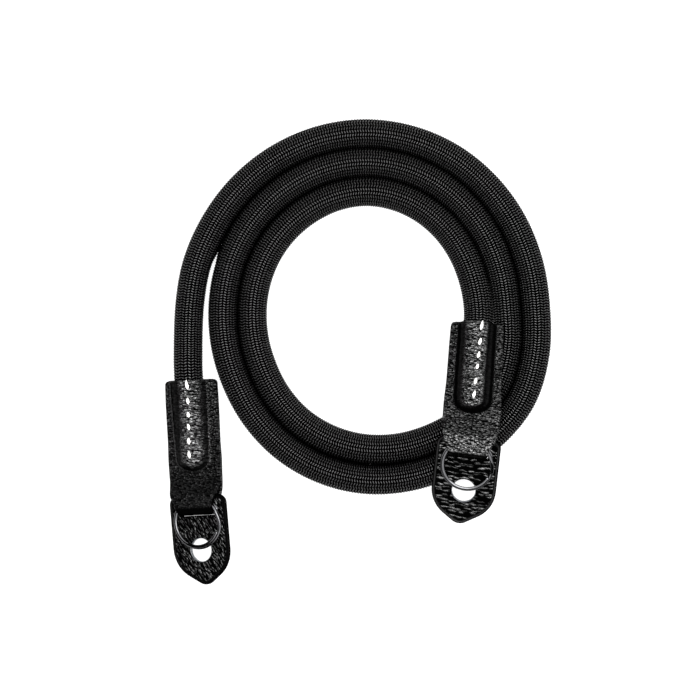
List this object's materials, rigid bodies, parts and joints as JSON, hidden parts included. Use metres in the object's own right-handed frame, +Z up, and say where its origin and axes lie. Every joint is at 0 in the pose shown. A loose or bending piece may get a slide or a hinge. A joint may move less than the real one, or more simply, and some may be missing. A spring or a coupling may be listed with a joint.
{
  "type": "rope camera strap",
  "caption": "Braided rope camera strap laid down in a flat coil, its ends held in folded leather sleeves with split rings and leather guard pads.",
  "frame": {"origin": "on the plane the strap lies on, below the middle of the box round the leather ends and their rings and pads, the rope left out", "axes": "+Z up from the plane; +X from the left end towards the right end as the picture shows them; +Y from the pads towards the rope's coil"},
  "size_m": [0.1434, 0.1744, 0.0246],
  "materials": {
    "rope": "matte black braided nylon with a faint sheen",
    "sleeve_leather": "black pebbled leather, half matte",
    "pad_leather": "black creased leather, half gloss",
    "ring_metal": "polished black nickel"
  },
  "bodies": {
    "root": {"rope": "rope", "left_sleeve": "sleeve_leather", "right_sleeve": "sleeve_leather", "left_pad": "pad_leather", "right_pad": "pad_leather", "left_ring": "ring_metal", "right_ring": "ring_metal"}
  },
  "joints": []
}
